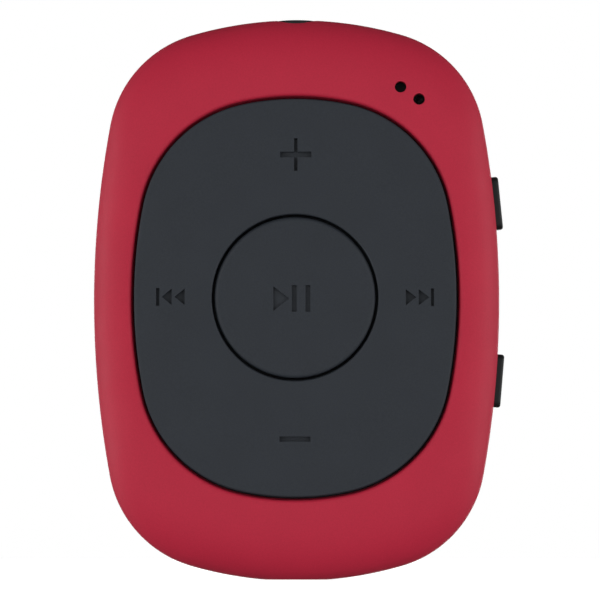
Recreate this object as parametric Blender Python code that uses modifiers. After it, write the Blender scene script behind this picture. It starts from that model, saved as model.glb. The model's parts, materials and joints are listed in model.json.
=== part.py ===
"""A clip-on digital audio player, modelled as the separate pieces it comes apart into.

Metres, +Z up. The player stands upright: the origin is the middle of the small flat at the
bottom of its casing, +X is to the right of the front, the front faces -Y, and the spring
clip is on the +Y side. Pieces that meet keep a gap of GAP between them.
"""
from math import asin, atan2, cos, hypot, pi, radians, sin, sqrt

import bmesh
import bpy
from mathutils import Matrix, Vector

MM = 0.001
GAP = 0.3 * MM

# Casing: the outline is seen from the front, the depths are along Y.
BODY_WIDTH = 36.2 * MM
BODY_HEIGHT = 50.0 * MM
FOOT_CUT = 0.12 * MM                # how much the small flat foot takes off the bottom curve
FRONT_DEPTH = -4.85 * MM            # front surface at the edge of the key plate
FRONT_BAND = -0.9 * MM              # straight side band, from here back to the parting line
PARTING = 0.65 * MM
REAR_BAND = 2.2 * MM
BACK_DEPTH = 5.25 * MM
BACK_ROUNDING = 3.4 * MM
WALL = 1.1 * MM                     # side walls
FRONT_WALL = 1.0 * MM
BACK_WALL = 0.95 * MM
LIP_WALL = 0.6 * MM                 # the rear shell's lip, which reaches inside the front shell

# Key plate and the round play button in its middle.
PLATE_OPENING = (29.1 * MM, 35.86 * MM)
PLATE_CROWN = -5.2 * MM
PLATE_RIM = -4.98 * MM
PLATE_BACK = -2.8 * MM
PLATE_FLANGE = 0.5 * MM             # thickness of the hidden flange
PLATE_GAP = 0.27 * MM
PLATE_HOLE = 7.37 * MM
EDGE = 0.12 * MM                    # small roundings along visible edges
PLAY_FRONT = -5.25 * MM
PLAY_RADIUS = 7.06 * MM
PLAY_FLANGE = 8.0 * MM
PAD_INNER = 8.5 * MM
PAD_OUTER = 9.5 * MM
ROCKER_AXIS_Y = -2.0 * MM

# Side buttons: height of each above the casing's middle.
SIDE_BUTTONS = {"upper": 8.51 * MM, "lower": -7.25 * MM}
SIDE_BUTTON_LENGTH = 4.75 * MM
SIDE_BUTTON_DEPTH = 1.8 * MM
SIDE_BUTTON_PROUD = 0.57 * MM
SIDE_BUTTON_Y = 0.05 * MM
SIDE_BUTTON_TAIL = 2.1 * MM         # how deep its inner end lies under the casing's side
SIDE_FLANGE_GROWTH = 0.6 * MM       # how far the hidden flange reaches past the button at each end

# Inside.
BOARD_FRONT = 0.3 * MM
BOARD_BACK = 1.1 * MM
BOARD_INSET = 2.4 * MM
KEY_OFFSET = 11.2 * MM              # from the middle to each of the four outer key switches
MAT_FRONT = -1.35 * MM
MAT_BACK = -0.95 * MM
SWITCH_HALF = 1.5 * MM
SIDE_SWITCH_FACE = 14.5 * MM        # outer face of the side switches, short of the board's notches
SCREW_X = 14.0 * MM
SCREW_Z = 14.6 * MM
SCREW_SEAT = 3.75 * MM              # floor of the counterbore in the rear shell
SCREW_HOLE = 0.9 * MM
POST_RADIUS = 1.35 * MM
BOSS_RADIUS = 1.75 * MM
JACK_Y = -0.05 * MM
JACK_HALF_WIDTH = 3.0 * MM
JACK_HALF_DEPTH = 2.1 * MM
JACK_BOTTOM = 38.3 * MM
JACK_TOP = 47.6 * MM
JACK_NOSE = 2.05 * MM
JACK_PROUD = 0.04 * MM
JACK_BORE = 1.8 * MM
USB_Y = 2.65 * MM
USB_HALF_WIDTH = 3.7 * MM
USB_HALF_DEPTH = 1.25 * MM
USB_MOUTH = -17.55 * MM
USB_END = -12.4 * MM
LIGHT_HOLE = (9.35 * MM, 18.73 * MM)
MICROPHONE_HOLE = (10.99 * MM, 17.64 * MM)
SMALL_HOLE = 0.48 * MM

# Clip.
HINGE_Y = 6.9 * MM
HINGE_Z = 38.5 * MM
PIN_RADIUS = 0.5 * MM
PIN_BORE = 0.65 * MM
LUG_RADIUS = 1.15 * MM
EAR_RADIUS = 1.25 * MM
LUGS = ((-7.3 * MM, -5.3 * MM), (5.3 * MM, 7.3 * MM))
EARS = ((-5.0 * MM, -2.7 * MM), (2.7 * MM, 5.0 * MM))
CLIP_INNER = 8.35 * MM
CLIP_OUTER = 10.15 * MM
CLIP_HALF_WIDTH = 8.7 * MM
JAW_INNER = 6.45 * MM
COIL_RADIUS = 0.9 * MM
COIL_TURNS = 4.5
WIRE_RADIUS = 0.2 * MM
SPRING_LEG = 4.5 * MM
LEAD_RADIUS = 0.28 * MM

OUTLINE_HEIGHT = BODY_HEIGHT + FOOT_CUT
MIDDLE_Z = BODY_HEIGHT - OUTLINE_HEIGHT / 2


# ---------------------------------------------------------------- scene and helpers

def clear_scene():
    for item in list(bpy.data.objects):
        bpy.data.objects.remove(item, do_unlink=True)


def new_collection(name):
    collection = bpy.data.collections.new(name)
    bpy.context.scene.collection.children.link(collection)
    return collection


clear_scene()
PARTS = new_collection("digital_audio_player")
CUTTERS = new_collection("cutters")


def material(name, colour, roughness, metallic=0.0):
    made = bpy.data.materials.new(name)
    made.use_nodes = True
    shader = made.node_tree.nodes["Principled BSDF"]
    shader.inputs["Base Color"].default_value = (*colour, 1.0)
    shader.inputs["Roughness"].default_value = roughness
    shader.inputs["Metallic"].default_value = metallic
    made.diffuse_color = (*colour, 1.0)
    return made


RED_PLASTIC = material("red_casing_plastic", (0.41, 0.026, 0.053), 0.45)
DARK_PLASTIC = material("dark_clip_plastic", (0.020, 0.022, 0.024), 0.5)
PLATE_PLASTIC = material("slate_key_plastic", (0.032, 0.038, 0.044), 0.55)
BUTTON_PLASTIC = material("side_button_plastic", (0.014, 0.018, 0.018), 0.45)
BLACK_PLASTIC = material("black_connector_plastic", (0.008, 0.008, 0.009), 0.4)
RUBBER = material("grey_silicone_rubber", (0.12, 0.12, 0.13), 0.7)
GRIP_RUBBER = material("black_grip_rubber", (0.015, 0.015, 0.015), 0.8)
BOARD_GREEN = material("board_laminate", (0.010, 0.085, 0.035), 0.4)
CHIP_BLACK = material("chip_epoxy", (0.012, 0.012, 0.012), 0.35)
STEEL = material("bright_steel", (0.55, 0.56, 0.57), 0.3, 1.0)
SPRING_STEEL = material("spring_steel", (0.40, 0.40, 0.41), 0.35, 1.0)
CELL_WRAP = material("battery_foil", (0.50, 0.51, 0.53), 0.35, 0.8)
FOAM = material("foam_pad", (0.03, 0.03, 0.03), 0.95)
RED_INSULATION = material("red_insulation", (0.45, 0.01, 0.01), 0.45)
BLACK_INSULATION = material("black_insulation", (0.01, 0.01, 0.01), 0.45)
CLEAR_PLASTIC = material("light_pipe_plastic", (0.75, 0.78, 0.80), 0.1)
LAMP_WHITE = material("lamp_ceramic", (0.75, 0.74, 0.68), 0.4)


def finish_mesh(name, bm, finish, smooth):
    """Turn a bmesh into an object in the parts collection, or a cutter if finish is None."""
    bmesh.ops.recalc_face_normals(bm, faces=bm.faces)
    mesh = bpy.data.meshes.new(name)
    bm.to_mesh(mesh)
    bm.free()
    made = bpy.data.objects.new(name, mesh)
    if finish is None:
        CUTTERS.objects.link(made)
        made.hide_render = True
        made.display_type = "WIRE"
        return made
    PARTS.objects.link(made)
    mesh.materials.append(finish)
    if smooth:
        mesh.shade_smooth()
        mesh.set_sharp_from_angle(angle=radians(35))
    return made


def loft(name, rings, finish, closed=False, smooth=True):
    """Skin a run of rings with equal point counts; closed joins the last ring to the first."""
    bm = bmesh.new()
    loops = [[bm.verts.new(point) for point in ring] for ring in rings]
    pairs = list(zip(loops, loops[1:]))
    if closed:
        pairs.append((loops[-1], loops[0]))
    else:
        bm.faces.new(loops[0])
        bm.faces.new(loops[-1])
    for near, far in pairs:
        for i in range(len(near)):
            j = (i + 1) % len(near)
            bm.faces.new((near[i], near[j], far[j], far[i]))
    return finish_mesh(name, bm, finish, smooth)


def box(name, low, high, finish, bevel=0.0):
    """A box between two corners, with its edges rounded if bevel is given."""
    bm = bmesh.new()
    bmesh.ops.create_cube(bm, size=1.0)
    size = Vector(high) - Vector(low)
    centre = (Vector(high) + Vector(low)) / 2
    bmesh.ops.scale(bm, vec=size, verts=bm.verts)
    bmesh.ops.translate(bm, vec=centre, verts=bm.verts)
    made = finish_mesh(name, bm, finish, smooth=False)
    if bevel:
        rounding = made.modifiers.new("rounded_edges", "BEVEL")
        rounding.width = bevel
        rounding.segments = 2
    return made


def rod(name, start, end, radius, finish, sides=16):
    """A round bar from start to end."""
    start, end = Vector(start), Vector(end)
    span = end - start
    turn = Vector((0, 0, 1)).rotation_difference(span).to_matrix().to_4x4()
    place = Matrix.Translation((start + end) / 2) @ turn
    bm = bmesh.new()
    bmesh.ops.create_cone(bm, cap_ends=True, segments=sides, radius1=radius, radius2=radius,
                          depth=span.length, matrix=place)
    return finish_mesh(name, bm, finish, smooth=True)


def rod_y(name, place, y_start, y_end, radius, finish=None, sides=16):
    """A round bar along Y through the (x, z) place."""
    x, z = place
    return rod(name, (x, y_start, z), (x, y_end, z), radius, finish, sides)


def rod_x(name, half_length, radius, finish=None):
    """A round bar along the clip's hinge axis."""
    return rod(name, (-half_length, HINGE_Y, HINGE_Z), (half_length, HINGE_Y, HINGE_Z), radius, finish)


def turned(name, profile, centre, finish, steps, faces_back=False):
    """Turn a (radius, height) profile in millimetres; height runs to the front, or to the back."""
    mesh = bpy.data.meshes.new(name)
    points = [(radius * MM, 0.0, height * MM) for radius, height in profile]
    edges = [(i, i + 1) for i in range(len(points) - 1)]
    mesh.from_pydata(points, edges, [])
    made = bpy.data.objects.new(name, mesh)
    PARTS.objects.link(made)
    made.location = centre
    made.rotation_euler = (-pi / 2 if faces_back else pi / 2, 0, 0)
    mesh.materials.append(finish)
    screw = made.modifiers.new("turned", "SCREW")
    screw.steps = steps
    screw.render_steps = steps
    screw.use_merge_vertices = True
    screw.merge_threshold = 0.01 * MM
    return made


def boolean(target, tool, operation="DIFFERENCE"):
    made = target.modifiers.new(f"{operation.lower()}_{tool.name}", "BOOLEAN")
    made.operation = operation
    made.object = tool


def cut(target, *tools):
    for tool in tools:
        boolean(target, tool)


def add(target, *tools):
    for tool in tools:
        boolean(target, tool, "UNION")


def wire(name, points, radius, finish):
    """A tube along points, with filled ends."""
    curve = bpy.data.curves.new(name, "CURVE")
    curve.dimensions = "3D"
    curve.bevel_depth = radius
    curve.bevel_resolution = 2
    curve.use_fill_caps = True
    spline = curve.splines.new("POLY")
    spline.points.add(len(points) - 1)
    for place, point in zip(spline.points, points):
        place.co = (*point, 1.0)
    made = bpy.data.objects.new(name, curve)
    curve.materials.append(finish)
    PARTS.objects.link(made)
    return made


def smooth_route(knots, per_span):
    """Points along a smooth curve through the knots (Catmull-Rom)."""
    knots = [Vector(k) for k in knots]
    padded = [2 * knots[0] - knots[1], *knots, 2 * knots[-1] - knots[-2]]
    route = []
    for a, b, c, d in zip(padded, padded[1:], padded[2:], padded[3:]):
        for i in range(per_span):
            t = i / per_span
            route.append(0.5 * (2 * b + (c - a) * t + (2 * a - 5 * b + 4 * c - d) * t * t
                                + (3 * b - a - 3 * c + d) * t * t * t))
    route.append(knots[-1])
    return route


def pivot(name, place):
    """An empty that marks a joint's axis; the pieces that move about it are its children."""
    made = bpy.data.objects.new(name, None)
    PARTS.objects.link(made)
    made.location = place
    made.empty_display_size = 5 * MM
    return made


def hang_on(parent, *children):
    for child in children:
        child.parent = parent
        child.matrix_parent_inverse = Matrix.Translation(-parent.location)


def set_origin(item, place):
    """Move a mesh object's origin to place and leave its shape where it is."""
    item.data.transform(Matrix.Translation(-Vector(place)))
    item.location = place


# ---------------------------------------------------------------- outlines

def arc(centre, radius, start, end, steps):
    angles = [start + (end - start) * i / steps for i in range(steps + 1)]
    return [(centre[0] + radius * cos(a), centre[1] + radius * sin(a)) for a in angles]


class Outline:
    """A soft rectangle: every quarter is a side arc, a corner arc and an end arc, all tangent."""

    STEPS = (3, 7, 4)

    def __init__(self, width, height, side_radius, end_radius, corner_radius):
        self.side = (width / 2 - side_radius, 0.0)
        self.end = (0.0, height / 2 - end_radius)
        self.radii = (side_radius, corner_radius, end_radius)
        reach_side = side_radius - corner_radius
        reach_end = end_radius - corner_radius
        run = (self.end[0] - self.side[0], self.end[1] - self.side[1])
        span = hypot(*run)
        along = (reach_side ** 2 - reach_end ** 2 + span ** 2) / (2 * span)
        across = sqrt(reach_side ** 2 - along ** 2)
        self.corner = (self.side[0] + (along * run[0] + across * run[1]) / span,
                       self.side[1] + (along * run[1] - across * run[0]) / span)
        if self.corner[0] < 0 or self.corner[1] < 0:
            self.corner = (self.side[0] + (along * run[0] - across * run[1]) / span,
                           self.side[1] + (along * run[1] + across * run[0]) / span)

    def points(self, inset=0.0):
        """The outline's (x, z) points about its middle, moved inwards by inset."""
        side_end = atan2(self.corner[1] - self.side[1], self.corner[0] - self.side[0])
        end_start = atan2(self.corner[1] - self.end[1], self.corner[0] - self.end[0])
        turns = ((0.0, side_end), (side_end, end_start), (end_start, pi / 2))
        centres = (self.side, self.corner, self.end)
        quarter = []
        for centre, radius, (start, end), steps in zip(centres, self.radii, turns, self.STEPS):
            quarter += arc(centre, radius - inset, start, end, steps)[:-1]
        quarter.append((0.0, self.end[1] + self.radii[2] - inset))
        back = quarter[:0:-1]
        upper = quarter[:-1] + [(-x, z) for x, z in back]
        return upper + [(-x, -z) for x, z in upper]


CASING = Outline(BODY_WIDTH, OUTLINE_HEIGHT, 86.3 * MM, 33.7 * MM, 10.27 * MM)
OPENING = Outline(*PLATE_OPENING, 42.6 * MM, 22.6 * MM, 11.6 * MM)


def blend(outer, inner, t):
    return [(a[0] + (b[0] - a[0]) * t, a[1] + (b[1] - a[1]) * t) for a, b in zip(outer, inner)]


def at_depth(outline, y):
    """Stand a flat outline up at depth y; nothing reaches below the foot."""
    return [(x, y, max(0.0, MIDDLE_Z + z)) for x, z in outline]


def circle_like(outline, radius):
    """Points on a circle, each at the same bearing as the outline's point."""
    bearings = [atan2(z, x) for x, z in outline]
    return [(radius * cos(a), radius * sin(a)) for a in bearings]


def rounded_rectangle(half_a, half_b, radius, steps=3):
    centres = ((1, 1, 0), (-1, 1, pi / 2), (-1, -1, pi), (1, -1, 3 * pi / 2))
    points = []
    for sign_a, sign_b, start in centres:
        centre = (sign_a * (half_a - radius), sign_b * (half_b - radius))
        points += arc(centre, radius, start, start + pi / 2, steps)
    return points


# ---------------------------------------------------------------- casing

def quarter_round(t):
    """How far a quarter ellipse has risen when it has run t of its width."""
    return sqrt(max(0.0, 1.0 - (1.0 - t) ** 2))


def screw_places():
    return [(x, MIDDLE_Z + z) for x in (-SCREW_X, SCREW_X) for z in (-SCREW_Z, SCREW_Z)]


def jack_notch(name):
    """The round hole in the casing's top, half in each shell."""
    low = (0, JACK_Y, BODY_HEIGHT - 3 * MM)
    high = (0, JACK_Y, BODY_HEIGHT + 2 * MM)
    return rod(name, low, high, JACK_NOSE + GAP, None, 32)


def side_button_frame(height):
    """The place and outward direction of a side button on the casing's side arc."""
    tilt = asin(height / CASING.radii[0])
    outward = Vector((cos(tilt), 0, sin(tilt)))
    x = CASING.side[0] + CASING.radii[0] * cos(tilt)
    return Vector((x, SIDE_BUTTON_Y, MIDDLE_Z + height)), outward, tilt


def pill(name, height, inner, outer, finish, grow_long=0.0, grow_deep=0.0, rounding=0.0):
    """A side button's rounded block, from inner to outer depth along its own direction."""
    place, outward, tilt = side_button_frame(height)
    radius = 0.6 * MM + grow_deep
    half_long = SIDE_BUTTON_LENGTH / 2 + grow_long
    half_deep = SIDE_BUTTON_DEPTH / 2 + grow_deep
    stations = [(inner, 0.0), (outer - rounding, 0.0)]
    if rounding:
        stations.append((outer, rounding))
    rings = []
    for depth, shrink in stations:
        outline = rounded_rectangle(half_long - shrink, half_deep - shrink, radius - shrink)
        up = Vector((-sin(tilt), 0, cos(tilt)))
        rings.append([place + outward * depth + up * a + Vector((0, b, 0)) for a, b in outline])
    return loft(name, rings, finish)


def make_front_shell():
    """A loft from the casing's outline to the key opening, and back along the inside."""
    opening = OPENING.points()
    casing = CASING.points()
    inside = CASING.points(WALL)
    rise = FRONT_DEPTH - FRONT_BAND
    inner_rise = rise + FRONT_WALL
    rings = [at_depth(casing, PARTING)]
    for t in (0.0, 0.005, 0.0174, 0.06, 0.14, 0.26, 0.42, 0.64):
        rings.append(at_depth(blend(casing, opening, t), FRONT_BAND + rise * quarter_round(t)))
    rings.append(at_depth(OPENING.points(-EDGE), FRONT_DEPTH))
    rings.append(at_depth(opening, FRONT_DEPTH + EDGE))
    for t in (1.0, 0.6, 0.3, 0.1, 0.0):
        rings.append(at_depth(blend(inside, opening, t), FRONT_BAND + inner_rise * quarter_round(t)))
    rings.append(at_depth(inside, PARTING))
    shell = loft("front_shell", rings, RED_PLASTIC, closed=True)
    for n, place in enumerate(screw_places()):
        add(shell, rod_y(f"post_{n}", place, -3.5 * MM, BOARD_BACK, POST_RADIUS))
        cut(shell, rod_y(f"post_bore_{n}", place, -1.6 * MM, 3 * MM, SCREW_HOLE))
    for name, (x, z) in (("light_hole", LIGHT_HOLE), ("microphone_hole", MICROPHONE_HOLE)):
        cut(shell, rod_y(name, (x, MIDDLE_Z + z), -6 * MM, -2 * MM, SMALL_HOLE))
    for name, height in SIDE_BUTTONS.items():
        cut(shell, pill(f"{name}_front_slot", height, -3 * MM, 2 * MM, None, GAP, GAP))
    cut(shell, jack_notch("front_jack_notch"))


def make_rear_shell():
    """A bowl with a lip that reaches inside the front shell, bosses for the screws and two lugs."""
    rise = BACK_DEPTH - REAR_BAND
    lip = WALL + GAP
    ledge = lip + LIP_WALL
    rings = []
    for t in (1.0, 0.7, 0.45, 0.25, 0.11, 0.035, 0.0):
        rings.append(at_depth(CASING.points(BACK_ROUNDING * t), REAR_BAND + rise * quarter_round(t)))
    rings.append(at_depth(CASING.points(), PARTING + GAP))
    for inset, y in ((lip, PARTING + GAP), (lip, 0.0), (ledge, 0.0), (ledge, BOARD_BACK + GAP),
                     (WALL + 0.1 * MM, 2.0 * MM), (1.6 * MM, 3.5 * MM), (3.2 * MM, BACK_DEPTH - BACK_WALL)):
        rings.append(at_depth(CASING.points(inset), y))
    shell = loft("rear_shell", rings, RED_PLASTIC)
    boss_front = BOARD_BACK + GAP
    overrun = 0.15 * MM             # the post's room is cut past the lip, and the boss fills it again
    for n, place in enumerate(screw_places()):
        cut(shell, rod_y(f"post_room_{n}", place, -MM, boss_front + overrun, POST_RADIUS + GAP))
        add(shell, rod_y(f"boss_{n}", place, boss_front, 4.25 * MM, BOSS_RADIUS))
        cut(shell, rod_y(f"boss_bore_{n}", place, 0, 5 * MM, SCREW_HOLE))
        cut(shell, rod_y(f"counterbore_{n}", place, SCREW_SEAT, 7 * MM, 1.1 * MM + GAP, sides=24))
    for name, height in SIDE_BUTTONS.items():
        cut(shell, pill(f"{name}_rear_slot", height, -3 * MM, 2 * MM, None, GAP, GAP))
        cut(shell, pill(f"{name}_flange_room", height, -3.2 * MM, -1.2 * MM, None,
                        SIDE_FLANGE_GROWTH + GAP, GAP + 0.05 * MM))
    cut(shell, jack_notch("rear_jack_notch"))
    room = 0.4 * MM
    through_lip = BODY_HEIGHT - lip + 0.1 * MM
    room_low = (-JACK_HALF_WIDTH - room, JACK_Y - JACK_HALF_DEPTH - room, JACK_BOTTOM - MM)
    room_high = (JACK_HALF_WIDTH + room, JACK_Y + JACK_HALF_DEPTH + room, through_lip)
    cut(shell, box("jack_room", room_low, room_high, None))
    window_low = (-20 * MM, USB_Y - USB_HALF_DEPTH - GAP, MIDDLE_Z - USB_HALF_WIDTH - GAP)
    window_high = (-15 * MM, USB_Y + USB_HALF_DEPTH + GAP, MIDDLE_Z + USB_HALF_WIDTH + GAP)
    cut(shell, box("usb_window", window_low, window_high, None))
    for n, (low, high) in enumerate(LUGS):
        add(shell, knuckle(f"lug_{n}", low, high, BACK_DEPTH - 0.25 * MM, LUG_RADIUS))
    cut(shell, rod_x("lug_bore", 9 * MM, PIN_BORE))


def knuckle(name, low_x, high_x, base_y, radius):
    """A hinge knuckle: round about the hinge axis, with straight cheeks running to base_y."""
    side = 1 if base_y < HINGE_Y else -1
    steps = 10
    rim = [(HINGE_Y + side * radius * sin(pi * i / steps), HINGE_Z + radius * cos(pi * i / steps))
           for i in range(steps + 1)]
    profile = [(base_y, HINGE_Z + radius), *rim, (base_y, HINGE_Z - radius)]
    rings = [[(x, y, z) for y, z in profile] for x in (low_x, high_x)]
    return loft(name, rings, None)


def make_screws():
    profile = [(0.0, 0.7), (0.85, 0.7), (1.1, 0.5), (1.1, 0.0), (0.6, 0.0), (0.6, -4.9), (0.3, -5.2),
               (0.0, -5.2)]
    for n, (x, z) in enumerate(screw_places(), start=1):
        turned(f"case_screw_{n}", profile, (x, SCREW_SEAT + GAP, z), STEEL, steps=16, faces_back=True)


# ---------------------------------------------------------------- keys

def make_rocker():
    """The key plate with its hidden flange, and the rubber ring that it rocks on."""
    rim = OPENING.points(PLATE_GAP)
    soft_rim = OPENING.points(PLATE_GAP + EDGE)
    flange = OPENING.points(-0.4 * MM)
    hole = circle_like(rim, PLATE_HOLE)
    soft_hole = circle_like(rim, PLATE_HOLE + EDGE)
    flange_front = PLATE_BACK - PLATE_FLANGE
    rings = [
        at_depth(hole, PLATE_CROWN + EDGE),
        at_depth(soft_hole, PLATE_CROWN),
        at_depth(blend(soft_hole, soft_rim, 0.55), PLATE_CROWN + 0.06 * MM),
        at_depth(soft_rim, PLATE_RIM),
        at_depth(rim, PLATE_RIM + EDGE),
        at_depth(rim, flange_front),
        at_depth(flange, flange_front),
        at_depth(flange, PLATE_BACK),
        at_depth(hole, PLATE_BACK),
    ]
    plate = loft("rocker_plate", rings, PLATE_PLASTIC, closed=True)
    inner, outer, deep = PAD_INNER / MM, PAD_OUTER / MM, 0.9
    section = [(inner, 0.0), (outer, 0.0), (outer, -deep), (inner, -deep), (inner, 0.0)]
    pad = turned("rocker_pad", section, (0, PLATE_BACK + GAP, MIDDLE_Z), RUBBER, steps=32)
    volume = pivot("volume_tilt_axis", (0, ROCKER_AXIS_Y, MIDDLE_Z))
    track = pivot("track_tilt_axis", (0, ROCKER_AXIS_Y, MIDDLE_Z))
    hang_on(track, plate)
    hang_on(volume, pad, track)


def make_play_button():
    side, flange = PLAY_RADIUS / MM, PLAY_FLANGE / MM
    profile = [(0.0, 0.0), (3.6, -0.03), (6.4, -0.1), (side - 0.17, -0.14), (side, -0.32), (side, -2.8),
               (flange, -2.8), (flange, -3.2), (0.0, -3.2)]
    turned("play_button", profile, (0, PLAY_FRONT, MIDDLE_Z), PLATE_PLASTIC, steps=48)


def make_side_buttons():
    for name, height in SIDE_BUTTONS.items():
        cap = pill(f"{name}_side_button", height, -SIDE_BUTTON_TAIL, SIDE_BUTTON_PROUD, BUTTON_PLASTIC,
                   rounding=0.2 * MM)
        add(cap, pill(f"{name}_flange", height, -SIDE_BUTTON_TAIL - 0.1 * MM, -1.75 * MM, None,
                      grow_long=SIDE_FLANGE_GROWTH))
        set_origin(cap, side_button_frame(height)[0])


def make_keypad_mat():
    """The silicone sheet behind the keys, with one nub for each switch."""
    sheet = Outline(25.8 * MM, 25.8 * MM, 16 * MM, 16 * MM, 11 * MM).points()
    mat = loft("keypad_mat", [at_depth(sheet, MAT_FRONT), at_depth(sheet, MAT_BACK)], RUBBER)
    for name, place in key_places().items():
        front, radius = (-1.65 * MM, 2.0 * MM) if name == "play" else (-2.1 * MM, 1.3 * MM)
        add(mat, rod_y(f"{name}_nub", place, front, MAT_FRONT + 0.2 * MM, radius))


# ---------------------------------------------------------------- inside

def key_places():
    return {
        "volume_up": (0.0, MIDDLE_Z + KEY_OFFSET),
        "volume_down": (0.0, MIDDLE_Z - KEY_OFFSET),
        "previous": (-KEY_OFFSET, MIDDLE_Z),
        "next": (KEY_OFFSET, MIDDLE_Z),
        "play": (0.0, MIDDLE_Z),
    }


def make_board():
    outline = CASING.points(BOARD_INSET)
    board = loft("main_board", [at_depth(outline, BOARD_FRONT), at_depth(outline, BOARD_BACK)],
                 BOARD_GREEN, smooth=False)
    for n, place in enumerate(screw_places()):
        cut(board, rod_y(f"board_notch_{n}", place, -MM, 3 * MM, POST_RADIUS + GAP))
    half = SIDE_BUTTON_LENGTH / 2 + SIDE_FLANGE_GROWTH + 0.4 * MM
    for name, height in SIDE_BUTTONS.items():
        z = MIDDLE_Z + height
        cut(board, box(f"{name}_side_notch", (SIDE_SWITCH_FACE + 0.2 * MM, -MM, z - half),
                       (20 * MM, 3 * MM, z + half), None))
    half = JACK_HALF_WIDTH + GAP
    cut(board, box("board_jack_notch", (-half, -MM, JACK_BOTTOM - 0.4 * MM), (half, 3 * MM, 52 * MM), None))


def make_switches():
    """Five flat dome switches under the keys and two side-pushed ones at the board's right edge."""
    for name, (x, z) in key_places().items():
        low = (x - SWITCH_HALF, -0.5 * MM, z - SWITCH_HALF)
        body = box(f"{name}_switch", low, (x + SWITCH_HALF, 0, z + SWITCH_HALF), STEEL)
        add(body, rod_y(f"{name}_dome", (x, z), -0.65 * MM, -0.2 * MM, 0.9 * MM))
    for name, height in SIDE_BUTTONS.items():
        z = MIDDLE_Z + height
        body = box(f"{name}_side_switch", (SIDE_SWITCH_FACE - 1.6 * MM, -1.9 * MM, z - 2 * MM),
                   (SIDE_SWITCH_FACE, 0, z + 2 * MM), STEEL)
        add(body, box(f"{name}_plunger", (SIDE_SWITCH_FACE - 0.5 * MM, -0.95 * MM, z - 0.7 * MM),
                      (SIDE_SWITCH_FACE + 0.45 * MM, -0.15 * MM, z + 0.7 * MM), None))


def make_chips():
    front = BOARD_BACK + GAP
    back = front + 0.8 * MM
    box("audio_chip", (5.0 * MM, front, 35.6 * MM), (10.4 * MM, back, 41.0 * MM), CHIP_BLACK)
    box("memory_chip", (-10.6 * MM, front, 35.4 * MM), (-4.6 * MM, back, 41.0 * MM), CHIP_BLACK)


def make_battery():
    box("battery_foam", (-10 * MM, 1.4 * MM, 11 * MM), (10 * MM, 1.7 * MM, 31 * MM), FOAM)
    box("battery", (-11 * MM, 2.0 * MM, 9 * MM), (11 * MM, 4.0 * MM, 33.5 * MM), CELL_WRAP, bevel=0.4 * MM)
    leads = (("battery_lead_positive", 1, RED_INSULATION), ("battery_lead_negative", -1, BLACK_INSULATION))
    knots = ((1.0, 3.0, 33.9), (1.05, 3.05, 35.0), (1.5, 2.7, 36.4), (2.2, 2.0, 36.9), (2.4, 1.75, 36.2),
             (2.4, 1.7, 35.2))
    for name, side, finish in leads:
        route = smooth_route([Vector((side * x, y, z)) * MM for x, y, z in knots], 3)
        wire(name, route, LEAD_RADIUS, finish)


def make_jack():
    """A headphone socket: a square body with a round nose, bored from the top."""
    low = (-JACK_HALF_WIDTH, JACK_Y - JACK_HALF_DEPTH, JACK_BOTTOM)
    high = (JACK_HALF_WIDTH, JACK_Y + JACK_HALF_DEPTH, JACK_TOP)
    body = box("headphone_jack", low, high, BLACK_PLASTIC)
    nose_top = (0, JACK_Y, BODY_HEIGHT + JACK_PROUD)
    add(body, rod("jack_nose", (0, JACK_Y, JACK_TOP - MM), nose_top, JACK_NOSE, None, 32))
    above = (0, JACK_Y, BODY_HEIGHT + 2 * MM)
    cut(body, rod("jack_bore", (0, JACK_Y, JACK_BOTTOM + 1.2 * MM), above, JACK_BORE, None, 24))


def make_usb_socket():
    """A small USB socket: a steel tunnel with a tongue, open on the left side."""
    low = Vector((USB_MOUTH, USB_Y - USB_HALF_DEPTH, MIDDLE_Z - USB_HALF_WIDTH))
    high = Vector((USB_END, USB_Y + USB_HALF_DEPTH, MIDDLE_Z + USB_HALF_WIDTH))
    socket = box("usb_socket", low, high, STEEL)
    sheet = 0.3 * MM
    cut(socket, box("usb_tunnel", low + Vector((-MM, sheet, sheet)), high - Vector((2 * sheet, sheet, sheet)),
                    None))
    tongue_low = (USB_MOUTH + 0.65 * MM, USB_Y - sheet, MIDDLE_Z - 2.4 * MM)
    add(socket, box("usb_tongue", tongue_low, (USB_END - sheet, USB_Y + sheet, MIDDLE_Z + 2.4 * MM), None))


def make_light_and_microphone():
    x, z = LIGHT_HOLE[0], MIDDLE_Z + LIGHT_HOLE[1]
    box("status_lamp", (x - 0.8 * MM, -0.6 * MM, z - 0.5 * MM), (x + 0.8 * MM, 0, z + 0.5 * MM), LAMP_WHITE)
    rod_y("light_pipe", (x, z), -2.75 * MM, -0.9 * MM, 0.7 * MM, CLEAR_PLASTIC)
    x, z = MICROPHONE_HOLE[0], MIDDLE_Z + MICROPHONE_HOLE[1]
    box("microphone", (x - 0.5 * MM, -0.9 * MM, z - 1.9 * MM), (x + 1.3 * MM, 0, z + 0.7 * MM), STEEL)
    tube = [(0.45, 0.75), (0.8, 0.75), (0.8, -0.75), (0.45, -0.75), (0.45, 0.75)]
    turned("microphone_gasket", tube, (x, -1.95 * MM, z), RUBBER, steps=16)


# ---------------------------------------------------------------- clip

def clip_section(z, half_width, inner, outer):
    """One level section through the clip arm."""
    middle = (inner + outer) / 2
    half_depth = (outer - inner) / 2
    outline = rounded_rectangle(half_width, half_depth, min(0.6 * MM, half_depth * 0.6), steps=2)
    return [(a, middle + b, z) for a, b in outline]


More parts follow.
